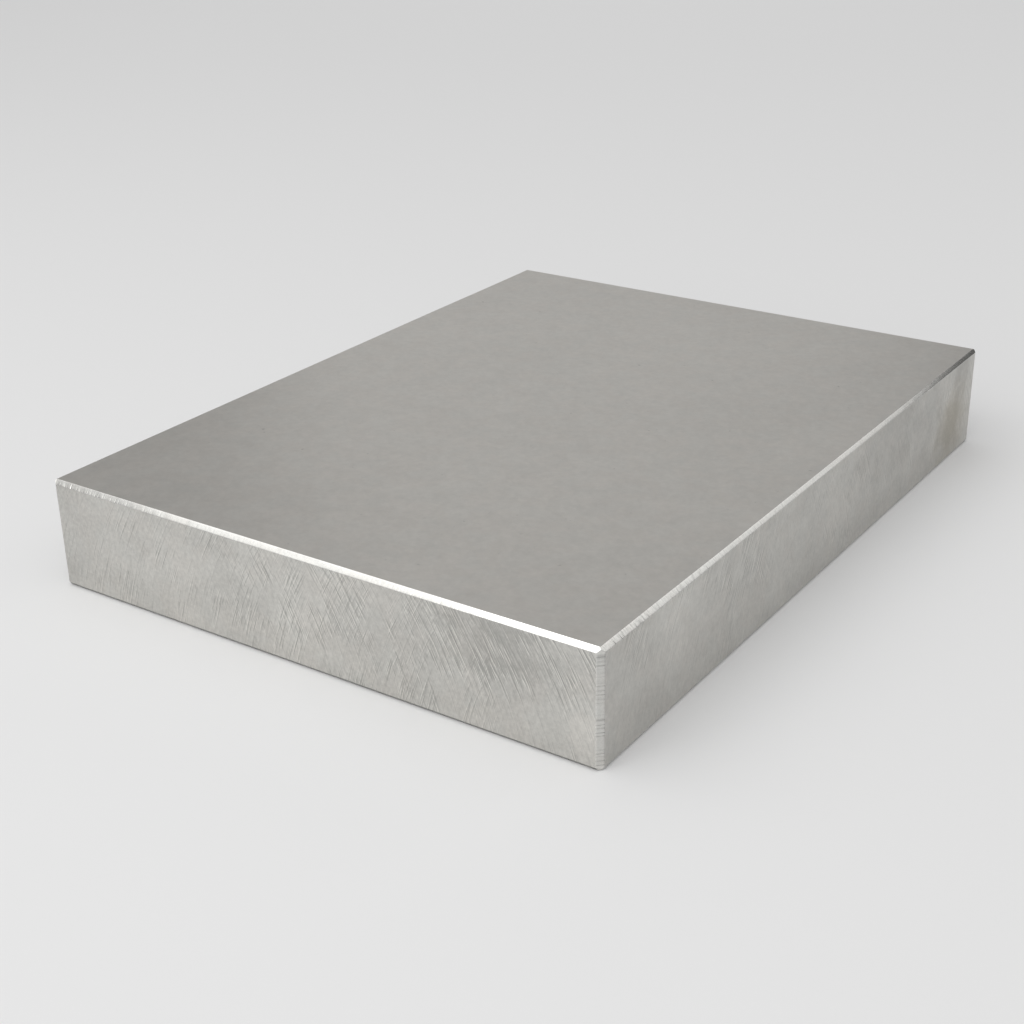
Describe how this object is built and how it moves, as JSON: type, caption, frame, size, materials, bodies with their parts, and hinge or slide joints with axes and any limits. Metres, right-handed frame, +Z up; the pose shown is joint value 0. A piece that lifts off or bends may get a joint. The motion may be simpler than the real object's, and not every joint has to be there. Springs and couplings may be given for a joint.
{
  "type": "aluminium plate",
  "caption": "Flat rectangular aluminium plate, cut to size and machined all over, with a small 45 degree chamfer on every edge: stock to clamp, drill or mill.",
  "frame": {"origin": "centre of the bottom face, on the surface that the plate lies on", "axes": "+Z up through the thickness, +Y along the length, +X along the width"},
  "size_m": [0.165, 0.22, 0.03],
  "materials": {
    "machined_aluminium": "fine satin on the broad faces, crossing face-mill arcs on the edges, bright cut chamfers"
  },
  "bodies": {
    "root": {"plate": "machined_aluminium"}
  },
  "joints": []
}
